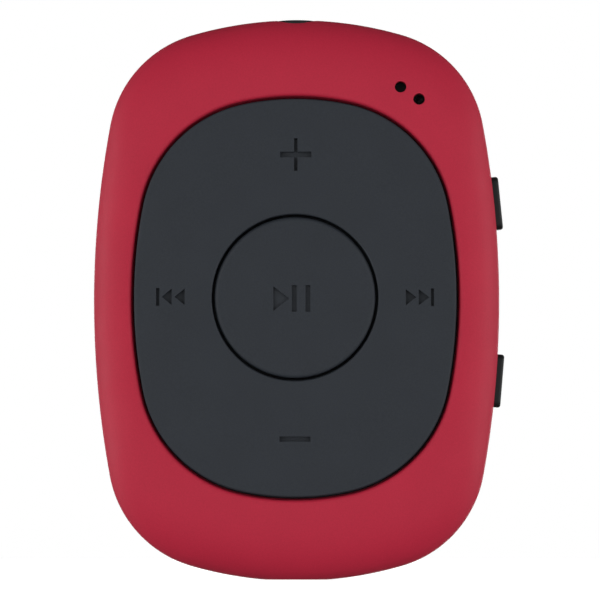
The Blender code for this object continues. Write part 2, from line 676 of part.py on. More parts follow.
def make_clip_arm():
    """A flat bar with a jaw at the bottom and a thumb tab above the hinge, lofted upwards."""
    wide = CLIP_HALF_WIDTH
    levels = (
        (0.0, wide - 6.4 * MM, CLIP_INNER + 0.4 * MM, CLIP_OUTER - 0.4 * MM),
        (0.2, wide - 4.6 * MM, CLIP_INNER + 0.2 * MM, CLIP_OUTER - 0.28 * MM),
        (0.6, wide - 3.1 * MM, CLIP_INNER, CLIP_OUTER - 0.15 * MM),
        (1.8, wide - 1.6 * MM, CLIP_INNER - 0.45 * MM, CLIP_OUTER),
        (4.3, wide - 0.5 * MM, JAW_INNER + 0.3 * MM, CLIP_OUTER),
        (5.0, wide - 0.3 * MM, JAW_INNER, CLIP_OUTER),
        (9.5, wide, JAW_INNER, CLIP_OUTER),
        (13.0, wide, CLIP_INNER, CLIP_OUTER),
        (41.5, wide, CLIP_INNER, CLIP_OUTER),
        (43.8, wide - 0.6 * MM, CLIP_INNER, CLIP_OUTER),
        (45.3, wide - 1.8 * MM, CLIP_INNER + 0.05 * MM, CLIP_OUTER - 0.1 * MM),
        (46.0, wide - 3.3 * MM, CLIP_INNER + 0.25 * MM, CLIP_OUTER - 0.3 * MM),
    )
    rings = [clip_section(z * MM, half_width, inner, outer) for z, half_width, inner, outer in levels]
    arm = loft("clip_arm", rings, DARK_PLASTIC)
    for n, (low, high) in enumerate(EARS):
        add(arm, knuckle(f"ear_{n}", low, high, CLIP_INNER + 0.45 * MM, EAR_RADIUS))
    cut(arm, rod_x("ear_bore", 5.2 * MM, PIN_BORE))
    pad_low = (-6 * MM, BACK_DEPTH + GAP, 5.1 * MM)
    pad = box("clip_grip_pad", pad_low, (6 * MM, JAW_INNER - GAP, 9.4 * MM), GRIP_RUBBER)
    axis = pivot("clip_hinge_axis", (0, HINGE_Y, HINGE_Z))
    hang_on(axis, arm, pad)


def make_clip_pin_and_spring():
    """The hinge pin, and a torsion spring round it with both legs running up behind the thumb tab."""
    rod_x("clip_pin", 7.2 * MM, PIN_RADIUS, STEEL)
    per_turn = 10
    half_length = 1.9 * MM
    count = int(COIL_TURNS * per_turn)
    coil = []
    for i in range(count + 1):
        angle = pi + 2 * pi * i / per_turn
        x = -half_length + 2 * half_length * i / count
        coil.append((x, HINGE_Y + COIL_RADIUS * cos(angle), HINGE_Z + COIL_RADIUS * sin(angle)))
    fixed_leg = (-half_length, BACK_DEPTH + GAP + WIRE_RADIUS, HINGE_Z + SPRING_LEG)
    clip_leg = (half_length, CLIP_INNER - GAP - WIRE_RADIUS, HINGE_Z + SPRING_LEG)
    wire("clip_spring", [fixed_leg, *coil, clip_leg], WIRE_RADIUS, SPRING_STEEL)


make_front_shell()
make_rear_shell()
make_screws()
make_rocker()
make_play_button()
make_side_buttons()
make_keypad_mat()
make_board()
make_switches()
make_chips()
make_battery()
make_jack()
make_usb_socket()
make_light_and_microphone()
make_clip_arm()
make_clip_pin_and_spring()
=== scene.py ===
"""Looks of the clip-on digital audio player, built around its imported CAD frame.

Shapes are worked out in millimetres in the row frame (+X right, front -Y, +Z up) and scaled to
metres when a mesh is made. Places come from the boxes of the CAD nodes.
"""

import json
from math import asin, atan2, cos, hypot, pi, radians, sin, sqrt

import bmesh
import bpy
import numpy as np
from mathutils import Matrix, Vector

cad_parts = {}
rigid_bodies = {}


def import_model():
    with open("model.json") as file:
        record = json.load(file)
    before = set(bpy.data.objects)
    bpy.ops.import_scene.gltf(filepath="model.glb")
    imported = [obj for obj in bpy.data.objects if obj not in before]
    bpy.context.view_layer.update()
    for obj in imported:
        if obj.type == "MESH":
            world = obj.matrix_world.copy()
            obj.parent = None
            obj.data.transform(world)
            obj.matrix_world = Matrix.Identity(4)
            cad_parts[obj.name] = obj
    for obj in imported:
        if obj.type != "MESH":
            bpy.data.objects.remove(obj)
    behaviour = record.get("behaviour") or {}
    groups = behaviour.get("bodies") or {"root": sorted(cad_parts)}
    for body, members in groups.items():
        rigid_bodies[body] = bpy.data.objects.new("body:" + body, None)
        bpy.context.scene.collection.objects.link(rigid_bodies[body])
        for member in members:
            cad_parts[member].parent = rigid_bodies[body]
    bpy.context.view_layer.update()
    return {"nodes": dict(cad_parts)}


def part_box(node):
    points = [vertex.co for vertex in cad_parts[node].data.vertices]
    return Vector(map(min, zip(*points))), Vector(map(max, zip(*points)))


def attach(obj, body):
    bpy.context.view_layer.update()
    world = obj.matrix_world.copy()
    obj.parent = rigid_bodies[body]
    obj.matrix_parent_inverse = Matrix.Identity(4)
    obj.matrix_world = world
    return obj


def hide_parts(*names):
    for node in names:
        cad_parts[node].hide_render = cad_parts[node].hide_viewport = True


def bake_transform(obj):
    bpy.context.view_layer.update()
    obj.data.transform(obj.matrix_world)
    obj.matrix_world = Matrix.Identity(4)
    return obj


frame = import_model()
NODES = frame["nodes"]

MM = 0.001


def node_box(name):
    low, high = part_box(name)
    return low / MM, high / MM


def middle_of(name):
    low, high = node_box(name)
    return (low + high) / 2


SHELL_LOW, SHELL_HIGH = node_box("front_shell")
PLATE_LOW, PLATE_HIGH = node_box("rocker_plate")
PLAY_LOW, PLAY_HIGH = node_box("play_button")
PIN_MIDDLE = middle_of("clip_pin")
MIDDLE_Z = middle_of("play_button").z

# Casing outline and depths (mm), as the CAD has them but for the parting line.
FOOT_CUT = 0.12  # what the foot's flat takes off the outline
HALF_WIDTH = SHELL_HIGH.x
OUTLINE_HEIGHT = 2 * (MIDDLE_Z + FOOT_CUT)
CASING_RADII = (86.3, 33.7, 10.27)  # side, end and corner arcs
OPENING_SIZE = (29.1, 35.86)
OPENING_RADII = (42.6, 22.6, 11.6)
FRONT = SHELL_LOW.y
BAND_FRONT = -0.9  # the sides are straight from here
BAND_REAR = 2.2  # to here
BACK = 5.25
BACK_ROUNDING = 3.4
PARTING = SHELL_HIGH.y + 0.1  # the front casing's edge; the rear one starts just behind it
REAR_EDGE = PARTING + 0.08
SEAM_FLOOR = PARTING + 0.005  # a step of the rear casing that closes the seam from inside
WALL = 1.1
LIP = WALL + 0.3  # the rear casing's lip stands inside the front casing's wall
LEDGE = LIP + 0.6
PLATE_GAP = 0.27
SCREW_X = 14.0
SCREW_Z = 14.6


# ------------------------ outlines

def arc(centre, radius, start, end, steps):
    angles = [start + (end - start) * i / steps for i in range(steps + 1)]
    return [(centre[0] + radius * cos(a), centre[1] + radius * sin(a)) for a in angles]


class Outline:
    """A soft rectangle: every quarter is a side arc, a corner arc and an end arc, all tangent."""

    STEPS = (14, 26, 18)  # along the side, corner and end arcs

    def __init__(self, width, height, side_radius, end_radius, corner_radius):
        self.side = (width / 2 - side_radius, 0.0)
        self.end = (0.0, height / 2 - end_radius)
        self.radii = (side_radius, corner_radius, end_radius)
        reach_side = side_radius - corner_radius
        reach_end = end_radius - corner_radius
        run = (self.end[0] - self.side[0], self.end[1] - self.side[1])
        span = hypot(*run)
        along = (reach_side ** 2 - reach_end ** 2 + span ** 2) / (2 * span)
        across = sqrt(reach_side ** 2 - along ** 2)
        for way in (across, -across):
            self.corner = (self.side[0] + (along * run[0] + way * run[1]) / span,
                           self.side[1] + (along * run[1] - way * run[0]) / span)
            if min(self.corner) >= 0:
                break

    def points(self, inset=0.0):
        """The outline's (x, z) points about its middle, moved inwards by inset."""
        side_end = atan2(self.corner[1] - self.side[1], self.corner[0] - self.side[0])
        end_start = atan2(self.corner[1] - self.end[1], self.corner[0] - self.end[0])
        turns = ((0.0, side_end), (side_end, end_start), (end_start, pi / 2))
        centres = (self.side, self.corner, self.end)
        quarter = []
        for centre, radius, (start, end), steps in zip(centres, self.radii, turns, self.STEPS):
            quarter += arc(centre, radius - inset, start, end, steps)[:-1]
        quarter.append((0.0, self.end[1] + self.radii[2] - inset))
        back = quarter[:0:-1]
        upper = quarter[:-1] + [(-x, z) for x, z in back]
        return np.array(upper + [(-x, -z) for x, z in upper])


CASING = Outline(2 * HALF_WIDTH, OUTLINE_HEIGHT, *CASING_RADII)
OPENING = Outline(*OPENING_SIZE, *OPENING_RADII)


def at_depth(outline, y):
    """Stand a flat outline up at depth y; nothing reaches below the foot."""
    z = np.maximum(0.0, MIDDLE_Z + outline[:, 1])
    return np.column_stack((outline[:, 0], np.full(len(outline), y), z))


def circle_like(outline, radius):
    """Points on a circle, each at the same bearing as the outline's point."""
    bearings = np.arctan2(outline[:, 1], outline[:, 0])
    return radius * np.column_stack((np.cos(bearings), np.sin(bearings)))


def rounded_rectangle(half_a, half_b, radius, steps=6):
    """Points round a rectangle with round corners, each corner in so many steps."""
    centres = ((1, 1, 0), (-1, 1, pi / 2), (-1, -1, pi), (1, -1, 3 * pi / 2))
    points = []
    for sign_a, sign_b, start in centres:
        centre = (sign_a * (half_a - radius), sign_b * (half_b - radius))
        points += arc(centre, radius, start, start + pi / 2, steps)
    return points


# ------------------------ mesh helpers

SMOOTH_ANGLE = 32  # faces that meet at a larger angle (degrees) keep a sharp edge


def new_object(name, data):
    made = bpy.data.objects.new(name, data)
    bpy.context.scene.collection.objects.link(made)
    return made


def shade(made, smooth_angle=SMOOTH_ANGLE):
    made.data.shade_smooth()
    made.data.set_sharp_from_angle(angle=radians(smooth_angle))


def bmesh_object(name, bm, smooth_angle=SMOOTH_ANGLE):
    """An object from a bmesh in metres, with smooth shading between its sharp edges."""
    mesh = bpy.data.meshes.new(name)
    bm.to_mesh(mesh)
    bm.free()
    made = new_object(name, mesh)
    shade(made, smooth_angle)
    return made


def mesh_object(name, bm, smooth_angle=SMOOTH_ANGLE):
    """The same from a bmesh in millimetres, with its normals turned outwards."""
    bmesh.ops.recalc_face_normals(bm, faces=bm.faces)
    bmesh.ops.scale(bm, vec=(MM, MM, MM), verts=bm.verts)
    return bmesh_object(name, bm, smooth_angle)


def skin(bm, rings, closed=False):
    """Faces between the rings; the last is joined to the first, or else both ends are capped."""
    loops = [[bm.verts.new(point) for point in ring] for ring in rings]
    pairs = list(zip(loops, loops[1:]))
    if closed:
        pairs.append((loops[-1], loops[0]))
    else:
        bm.faces.new(loops[0])
        bm.faces.new(loops[-1])
    for near, far in pairs:
        for i in range(len(near)):
            j = (i + 1) % len(near)
            bm.faces.new((near[i], near[j], far[j], far[i]))


def loft(name, rings, closed=False, smooth_angle=SMOOTH_ANGLE):
    """Skin a run of rings with equal point counts; closed joins the last ring to the first."""
    bm = bmesh.new()
    skin(bm, rings, closed)
    return mesh_object(name, bm, smooth_angle)


def turn_ring(radius, height, steps, place):
    """Points on a circle about an axis, at a height along it."""
    centre, across, up, axis = place
    return [centre + axis * height + (across * cos(a) + up * sin(a)) * radius
            for a in (2 * pi * i / steps for i in range(steps))]


def axes_along(centre, axis):
    """A centre with two directions across an axis, for turned shapes."""
    axis = Vector(axis).normalized()
    helper = Vector((0, 0, 1)) if abs(axis.z) < 0.9 else Vector((1, 0, 0))
    across = axis.cross(helper).normalized()
    return Vector(centre), across, axis.cross(across), axis


def turned(name, profile, centre, axis, steps=48, closed=False):
    """Turn a (radius, height) profile about an axis; a radius of zero closes an end in a point."""
    bm = bmesh.new()
    place = axes_along(centre, axis)
    loops = []
    for radius, height in profile:
        if radius == 0:
            loops.append([bm.verts.new(place[0] + place[3] * height)])
        else:
            loops.append([bm.verts.new(p) for p in turn_ring(radius, height, steps, place)])
    pairs = list(zip(loops, loops[1:]))
    if closed:
        pairs.append((loops[-1], loops[0]))
    for near, far in pairs:
        for i in range(steps):
            j = (i + 1) % steps
            corners = (near[i % len(near)], near[j % len(near)], far[j % len(far)], far[i % len(far)])
            bm.faces.new(list(dict.fromkeys(corners)))
    if not closed:
        for loop in (loops[0], loops[-1]):
            if len(loop) > 1:
                bm.faces.new(loop)
    return mesh_object(name, bm)


def rod(name, start, end, radius, steps=32):
    """A round bar between two points."""
    start, end = Vector(start), Vector(end)
    span = (end - start).length
    return turned(name, [(radius, 0.0), (radius, span)], start, end - start, steps)


def box(name, low, high, bevel=0.0, segments=3):
    """A box between two corners, with rounded edges where bevel is given."""
    bm = bmesh.new()
    bmesh.ops.create_cube(bm, size=1.0)
    low, high = Vector(low), Vector(high)
    bmesh.ops.scale(bm, vec=high - low, verts=bm.verts)
    bmesh.ops.translate(bm, vec=(high + low) / 2, verts=bm.verts)
    if bevel:
        bmesh.ops.bevel(bm, geom=list(bm.edges), offset=bevel, segments=segments, profile=0.5,
                        affect="EDGES")
    return mesh_object(name, bm)


def prism(name, outline, y_front, y_back, draft):
    """A flat (x, z) outline, with z from the casing's middle, pushed through and shrinking by draft."""
    points = np.array(outline, float)
    middle = points.mean(0)
    shrunk = middle + (points - middle) * (1 - draft)
    rings = [[(x, y_front, MIDDLE_Z + z) for x, z in points],
             [(x, y_back, MIDDLE_Z + z) for x, z in shrunk]]
    return loft(name, rings)


def join(name, parts):
    """One object from several, whose own objects go."""
    bm = bmesh.new()
    for part in parts:
        bm.from_mesh(part.data)
        bpy.data.objects.remove(part, do_unlink=True)
    return bmesh_object(name, bm)


def carve(target, tools, operation="DIFFERENCE"):
    """Cut tools out of target, or add them to it, for good."""
    for tool in tools:
        change = target.modifiers.new("carve", "BOOLEAN")
        change.operation = operation
        change.object = tool
        change.solver = "EXACT"
    bpy.context.view_layer.update()
    graph = bpy.context.evaluated_depsgraph_get()
    carved = bpy.data.meshes.new_from_object(target.evaluated_get(graph))
    target.modifiers.clear()
    uncut, target.data = target.data, carved
    bpy.data.meshes.remove(uncut)
    for tool in tools:
        bpy.data.objects.remove(tool, do_unlink=True)
    shade(target)


def soften(target, width, test, segments=2, angle=40):
    """Round the edges sharper than angle whose two ends pass the test (given in millimetres)."""
    bm = bmesh.new()
    bm.from_mesh(target.data)
    bm.normal_update()
    chosen = []
    for edge in bm.edges:
        if len(edge.link_faces) != 2 or edge.calc_face_angle() < radians(angle):
            continue
        if all(test(v.co / MM) for v in edge.verts):
            chosen.append(edge)
    bmesh.ops.bevel(bm, geom=chosen, offset=width * MM, segments=segments, profile=0.5,
                    affect="EDGES", clamp_overlap=True)
    bm.to_mesh(target.data)
    bm.free()
    shade(target)


def quarter_turns(steps):
    """Angles up to a quarter turn, without the first."""
    return [pi / 2 * i / steps for i in range(1, steps + 1)]


def quarter_profile(steps):
    """(share of the run, share of the rise) along a quarter ellipse."""
    return [(1 - cos(pi / 2 * i / steps), sin(pi / 2 * i / steps)) for i in range(steps + 1)]


def screw_places():
    return [(x, MIDDLE_Z + z) for x in (-SCREW_X, SCREW_X) for z in (-SCREW_Z, SCREW_Z)]


def depth_rod(x, z, run, steps=32):
    """A bar along Y through (x, z); run is where it starts, where it ends and its radius."""
    start, end, radius = run
    return rod("depth_rod", (x, start, z), (x, end, z), radius, steps)


def at_screws(run, steps=32):
    return [depth_rod(x, z, run, steps) for x, z in screw_places()]


# ------------------------ casing

RIM = 0.34  # rounding round the key opening
THROAT = 0.16  # how far the wall behind that rounding reaches in
FRONT_WALL = 1.0
PARTING_ROUND = 0.07

# Bars along Y: where each starts, where it ends and its radius.
HOLE = (-6.0, -2.0, 0.515)  # for the lamp and the microphone
POST = (-3.5, 1.1, 1.35)  # of the front casing, one for each screw
POST_BORE = (-1.6, 3.0, 0.75)
POST_ROOM = (-1.0, 1.55, 1.5)
BOSS = (1.4, 4.6, 1.75)  # of the rear casing, one behind each post
BOSS_BORE = (0.0, 5.0, 0.75)
COUNTERBORE = (3.75, 7.0, 1.38)

JACK_LOW, JACK_HIGH = node_box("headphone_jack")
JACK_Y = (JACK_LOW.y + JACK_HIGH.y) / 2
JACK_NOSE = 2.0  # outer and inner radius of the socket's nose
JACK_BORE = 1.77
JACK_BODY_TOP = 47.6
JACK_ROOM = 0.4  # clearance round the socket's body

BUTTON_SEATS = {"upper": 8.62, "lower": -7.22}  # heights above the casing's middle
BUTTON_Y = middle_of("upper_side_button").y
BUTTON_LENGTH = 4.75
BUTTON_DEPTH = 2 * (node_box("upper_side_button")[1].y - BUTTON_Y)
BUTTON_CORNER = 0.6
BUTTON_PROUD = 0.57  # how far it stands out of the casing
BUTTON_TAIL = 2.1  # how far it reaches in
BUTTON_EDGE = 0.25  # rounding round its face
SLOT_GAP = 0.1
FLANGE = (-BUTTON_TAIL - 0.1, -1.75)  # depths between which it has a flange
FLANGE_GROWTH = 0.6
FLANGE_ROOM = (-3.2, -1.2)
FLANGE_GAP = 0.2

PIN_BORE = 0.55
LUGS = ((-7.3, -5.3), (5.3, 7.3))  # where the casing's lugs and the clip's ears lie along the pin
LUG_RADIUS = 1.15
EARS = ((-5.0, -2.7), (2.7, 5.0))
EAR_RADIUS = 1.25


def side_button_frame(name):
    """Where a side button meets the casing's side arc, its outward direction and its upward one."""
    height = BUTTON_SEATS[name]
    tilt = asin(height / CASING.radii[0])
    outward = Vector((cos(tilt), 0, sin(tilt)))
    place = Vector((CASING.side[0] + CASING.radii[0] * cos(tilt), BUTTON_Y, MIDDLE_Z + height))
    return place, outward, Vector((-sin(tilt), 0, cos(tilt)))


def pill_rings(name, stations, grow_long=0.0, grow_deep=0.0):
    """Rings of a side button's block; a station is (depth along its direction, shrink)."""
    place, outward, up = side_button_frame(name)
    rings = []
    for depth, shrink in stations:
        outline = rounded_rectangle(BUTTON_LENGTH / 2 + grow_long - shrink,
                                    BUTTON_DEPTH / 2 + grow_deep - shrink,
                                    max(0.05, BUTTON_CORNER + grow_deep - shrink))
        rings.append([place + outward * depth + up * a + Vector((0, b, 0)) for a, b in outline])
    return rings


def jack_notch():
    """What the nose of the headphone socket takes out of both casings."""
    top = SHELL_HIGH.z
    return rod("jack_notch", (0, JACK_Y, top - 3), (0, JACK_Y, top + 2), JACK_NOSE + 0.2, 64)


def button_slots():
    """The openings in the casing's side that the side buttons stand in."""
    return [loft(f"{name}_slot", pill_rings(name, ((-3, 0), (2, 0)), SLOT_GAP, SLOT_GAP))
            for name in BUTTON_SEATS]


def near_axis(x, z, reach, behind=-100.0):
    """A test for points (mm) within reach of the line along Y through (x, z), and behind a depth."""
    return lambda p: hypot(p.x - x, p.z - z) < reach and p.y > behind


def knuckle(name, low_x, high_x, base_y, radius, steps=24, edge=0.12):
    """A hinge knuckle: round about the hinge axis, with cheeks running to base_y."""
    y0, z0 = PIN_MIDDLE.y, PIN_MIDDLE.z
    side = 1 if base_y < y0 else -1

    def section(x, r):
        rim = [(x, y0 + side * r * sin(pi * i / steps), z0 + r * cos(pi * i / steps))
               for i in range(steps + 1)]
        return [(x, base_y, z0 + r), *rim, (x, base_y, z0 - r)]

    rings = [section(low_x, radius - edge), section(low_x + edge, radius),
             section(high_x - edge, radius), section(high_x, radius - edge)]
    return loft(name, rings)


def hinge_bore(reach):
    """What the hinge pin takes out of the lugs or the ears."""
    y, z = PIN_MIDDLE.y, PIN_MIDDLE.z
    return rod("hinge_bore", (-reach, y, z), (reach, y, z), PIN_BORE)


def make_front_shell():
    """The front casing, skinned from its edge over the front, round the opening and back inside."""
    casing = CASING.points()
    throat = OPENING.points(THROAT)
    soft_opening = OPENING.points(-RIM)
    inside = CASING.points(WALL)
    rise = FRONT - BAND_FRONT
    rings = [at_depth(CASING.points(PARTING_ROUND), PARTING),
             at_depth(CASING.points(PARTING_ROUND * 0.3), PARTING - PARTING_ROUND * 0.3),
             at_depth(casing, PARTING - PARTING_ROUND),
             at_depth(casing, (PARTING + BAND_FRONT) / 2)]
    for run, up in quarter_profile(30):
        rings.append(at_depth(casing + (soft_opening - casing) * run, BAND_FRONT + rise * up))
    for turn in quarter_turns(6):
        rings.append(at_depth(OPENING.points(-RIM * (1 - sin(turn))), FRONT + RIM * (1 - cos(turn))))
    for run, up in reversed(quarter_profile(12)):
        rings.append(at_depth(inside + (throat - inside) * run, BAND_FRONT + (rise + FRONT_WALL) * up))
    rings.append(at_depth(inside, PARTING))
    shell = loft("front_casing", rings, closed=True)
    carve(shell, at_screws(POST), "UNION")
    holes = [middle_of("light_pipe"), middle_of("microphone_gasket")]
    cutters = at_screws(POST_BORE) + [depth_rod(p.x, p.z, HOLE, 48) for p in holes]
    cutters += button_slots() + [jack_notch()]
    carve(shell, cutters)
    for place in holes:
        soften(shell, 0.05, near_axis(place.x, place.z, 0.6))
    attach(shell, "casing")
    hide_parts("front_shell")
    return shell


def make_rear_shell():
    """The rear casing, skinned from its back over the side and the lip to the inside of the back."""
    rise = BACK - BAND_REAR
    rings = []
    for run, up in reversed(quarter_profile(22)):
        rings.append(at_depth(CASING.points(BACK_ROUNDING * run), BAND_REAR + rise * up))
    rings += [at_depth(CASING.points(), REAR_EDGE + PARTING_ROUND),
              at_depth(CASING.points(PARTING_ROUND * 0.3), REAR_EDGE + PARTING_ROUND * 0.3),
              at_depth(CASING.points(PARTING_ROUND), REAR_EDGE)]
    seam = ((0.28, REAR_EDGE), (0.3, SEAM_FLOOR), (1.0, SEAM_FLOOR), (LIP, REAR_EDGE))
    lip = ((LIP, 0.05), (LIP + 0.1, -0.05), (LEDGE, 0.0), (LEDGE, 1.4))
    inside = ((1.2, 2.0), (1.6, 3.5), (2.1, 3.9), (3.2, 4.3))
    for inset, y in seam + lip + inside:
        rings.append(at_depth(CASING.points(inset), y))
    shell = loft("rear_casing", rings)
    carve(shell, at_screws(POST_ROOM))
    carve(shell, at_screws(BOSS), "UNION")
    cutters = at_screws(BOSS_BORE) + at_screws(COUNTERBORE, 48)
    for name in BUTTON_SEATS:
        ends = [(depth, 0) for depth in FLANGE_ROOM]
        room = pill_rings(name, ends, FLANGE_GROWTH + FLANGE_GAP, FLANGE_GAP)
        cutters.append(loft(f"{name}_flange_room", room))
    cutters += button_slots() + [jack_notch()]
    cutters.append(box("jack_room", (JACK_LOW.x - JACK_ROOM, JACK_LOW.y - JACK_ROOM, JACK_LOW.z - 1.0),
                       (JACK_HIGH.x + JACK_ROOM, JACK_HIGH.y + JACK_ROOM, SHELL_HIGH.z - LIP + 0.1)))
    low, high = node_box("usb_socket")
    window = rounded_rectangle((high.z - low.z) / 2 + 0.12, (high.y - low.y) / 2 + 0.12, 0.55)
    usb = middle_of("usb_socket")
    cutters.append(loft("usb_window", [[(x, usb.y + b, usb.z + a) for a, b in window] for x in (-20, -15)]))
    carve(shell, cutters)
    carve(shell, [knuckle("lug", left, right, BACK - 0.25, LUG_RADIUS) for left, right in LUGS], "UNION")
    carve(shell, [hinge_bore(9)])
    for x, z in screw_places():
        soften(shell, 0.08, near_axis(x, z, 1.6, behind=4.5))
    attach(shell, "casing")
    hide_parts("rear_shell")
    return shell


def make_screws():
    """Cross-head screws, each sitting on the floor of its counterbore."""
    head = [(0.0, 0.70), (0.45, 0.69), (0.75, 0.63), (0.95, 0.52), (1.06, 0.38), (1.1, 0.2), (1.1, 0.04),
            (1.06, 0.0)]
    core, crest, pitch, tip = 0.55, 0.6, 0.4, -5.2
    profile = [*head, (core, 0.0)]
    depth = 0.0
    while depth > -4.6:
        profile += [(core, depth - 0.12), (crest, depth - 0.2), (core, depth - 0.28)]
        depth -= pitch
    profile += [(0.3, tip), (0.0, tip)]
    for n in range(1, 5):
        low, high = node_box(f"case_screw_{n}")
        x, z = (low.x + high.x) / 2, (low.z + high.z) / 2
        seat = high.y - 0.7
        screw = turned(f"screw_{n}", profile, (x, seat, z), (0, 1, 0), steps=40)
        turn = 0.35 + n
        arms = []
        for angle in (turn, turn + pi / 2):
            along = Vector((cos(angle), 0, sin(angle)))
            across = Vector((-along.z, 0, along.x))
            rings = []
            for y, half, wide in ((seat + 0.9, 0.62, 0.14), (seat + 0.22, 0.25, 0.1)):
                rings.append([Vector((x, y, z)) + along * a * half + across * b * wide
                              for a, b in ((-1, -1), (1, -1), (1, 1), (-1, 1))])
            arms.append(loft("cross_arm", rings))
        carve(screw, arms)
        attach(screw, "casing")
        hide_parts(f"case_screw_{n}")


# ------------------------ keys

SYMBOL_DEPTH = 0.55
PLAY_SYMBOL_DEPTH = 0.36
PLATE_CROWN = 0.22  # how far the plate falls from its middle to its rim
RIM_ROUND = 0.16
KEY_FLANGE = 0.4  # how far the hidden flange reaches out, and its thickness
FLANGE_THICKNESS = 0.5
PLAY_RADIUS = 7.12
PLAY_GAP = 0.25
PLAY_DISH = 0.12  # how far the button falls towards its rounding
PLAY_ROUND = 0.38  # how far in the rounding reaches, and how deep it goes
PLAY_DROP = 0.24
PLAY_FLANGE = (8.0, -2.8)  # its flange's radius, and the flange's front below the face
HOLE_ROUND = 0.14


def bar(middle_x, middle_z, width, height):
    """A rectangle's outline, as (x, z) from the casing's middle."""
    a, b = width / 2, height / 2
    return [(middle_x - a, middle_z - b), (middle_x + a, middle_z - b), (middle_x + a, middle_z + b),
            (middle_x - a, middle_z + b)]


def triangle(base_x, tip_x, middle_z, height):
    """The outline of an arrowhead that points along X."""
    return [(base_x, middle_z - height / 2), (tip_x, middle_z), (base_x, middle_z + height / 2)]


def cross(middle_x, middle_z, wide, tall, thin, thick):
    """A plus sign's outline: the upright is thin and tall, the crossbar thick and wide."""
    a, b, c, d = thin / 2, thick / 2, wide / 2, tall / 2
    points = [(-a, -d), (a, -d), (a, -b), (c, -b), (c, b), (a, b),
              (a, d), (-a, d), (-a, b), (-c, b), (-c, -b), (-a, -b)]
    return [(middle_x + x, middle_z + z) for x, z in points]


PLATE_SYMBOLS = {
    "plus": cross(0.07, 12.68, 2.82, 2.96, 0.31, 0.5),
    "minus": bar(0.0, -12.53, 2.78, 0.46),
    "back_bar": bar(-12.16, 0.07, 0.3, 1.6),
    "back_1": triangle(-10.92, -11.81, 0.07, 1.46),
    "back_2": triangle(-9.77, -10.68, 0.07, 1.46),
    "ahead_bar": bar(12.16, 0.0, 0.28, 1.6),
    "ahead_1": triangle(9.8, 10.74, 0.0, 1.44),
    "ahead_2": triangle(10.94, 11.88, 0.0, 1.44),
}
PLAY_SYMBOLS = {
    "play": triangle(-1.92, -0.49, -0.1, 2.22),
    "pause_1": bar(-0.06, -0.1, 0.43, 2.4),
    "pause_2": bar(1.15, -0.1, 0.43, 2.4),
}


def engrave(target, symbols, front, depth, draft=0.04):
    """Sink symbols into a front face, with slightly sloping sides."""
    tools = [prism(name, outline, front - 0.5, front + depth, draft) for name, outline in symbols.items()]
    carve(target, tools)


def make_rocker_plate():
    """The oval key plate: crowned, with soft edges, a hidden flange and sunk symbols."""
    rim = OPENING.points(PLATE_GAP)
    hole_radius = PLAY_RADIUS + PLAY_GAP
    crown = PLATE_LOW.y
    edge = crown + PLATE_CROWN
    back = PLATE_HIGH.y
    flange = OPENING.points(-KEY_FLANGE)
    rings = [at_depth(circle_like(rim, hole_radius), back)]
    for turn in (0.0, *quarter_turns(6)):
        radius = hole_radius + HOLE_ROUND * (1 - cos(turn))
        rings.append(at_depth(circle_like(rim, radius), crown + HOLE_ROUND * (1 - sin(turn))))
    inner = circle_like(rim, hole_radius + HOLE_ROUND)
    outer = OPENING.points(PLATE_GAP + RIM_ROUND)
    count = 26
    for step in range(1, count + 1):
        share = step / count
        rings.append(at_depth(inner + (outer - inner) * share, crown + (edge - crown) * share ** 2.4))
    for turn in quarter_turns(6):
        rings.append(at_depth(OPENING.points(PLATE_GAP + RIM_ROUND * (1 - sin(turn))),
                              edge + RIM_ROUND * (1 - cos(turn))))
    flange_front = back - FLANGE_THICKNESS
    rings += [at_depth(rim, flange_front), at_depth(flange, flange_front), at_depth(flange, back)]
    plate = loft("key_plate", rings, closed=True)
    engrave(plate, PLATE_SYMBOLS, crown + 0.05, SYMBOL_DEPTH)
    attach(plate, "rocker")
    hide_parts("rocker_plate")
    return plate


def make_play_button():
    """The round middle button: slightly domed, with a soft edge, a hidden flange and sunk symbols."""
    front, back = PLAY_LOW.y, PLAY_HIGH.y
    profile = [(0.0, 0.0)]
    count = 24
    for step in range(1, count + 1):
        share = step / count
        profile.append(((PLAY_RADIUS - PLAY_ROUND) * share, -PLAY_DISH * share ** 2.2))
    for turn in quarter_turns(8):
        profile.append((PLAY_RADIUS - PLAY_ROUND * (1 - sin(turn)),
                        -PLAY_DISH - PLAY_DROP * (1 - cos(turn))))
    flange_radius, flange_front = PLAY_FLANGE
    profile += [(PLAY_RADIUS, flange_front), PLAY_FLANGE, (flange_radius, front - back), (0.0, front - back)]
    button = turned("centre_button", profile, (0, front, MIDDLE_Z), (0, -1, 0), steps=160)
    engrave(button, PLAY_SYMBOLS, front, PLAY_SYMBOL_DEPTH)
    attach(button, "play_button")
    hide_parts("play_button")
    return button


def make_side_buttons():
    """Two blocks with soft faces, each held inside the casing by a flange."""
    for name in BUTTON_SEATS:
        stations = [(-BUTTON_TAIL, 0.0), (BUTTON_PROUD - BUTTON_EDGE, 0.0)]
        for turn in quarter_turns(6):
            stations.append((BUTTON_PROUD - BUTTON_EDGE * (1 - sin(turn)), BUTTON_EDGE * (1 - cos(turn))))
        button = loft(f"{name}_button", pill_rings(name, stations))
        flange = loft("flange", pill_rings(name, [(depth, 0) for depth in FLANGE], FLANGE_GROWTH))
        carve(button, [flange], "UNION")
        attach(button, f"{name}_side_button")
        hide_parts(f"{name}_side_button")


# ------------------------ sockets

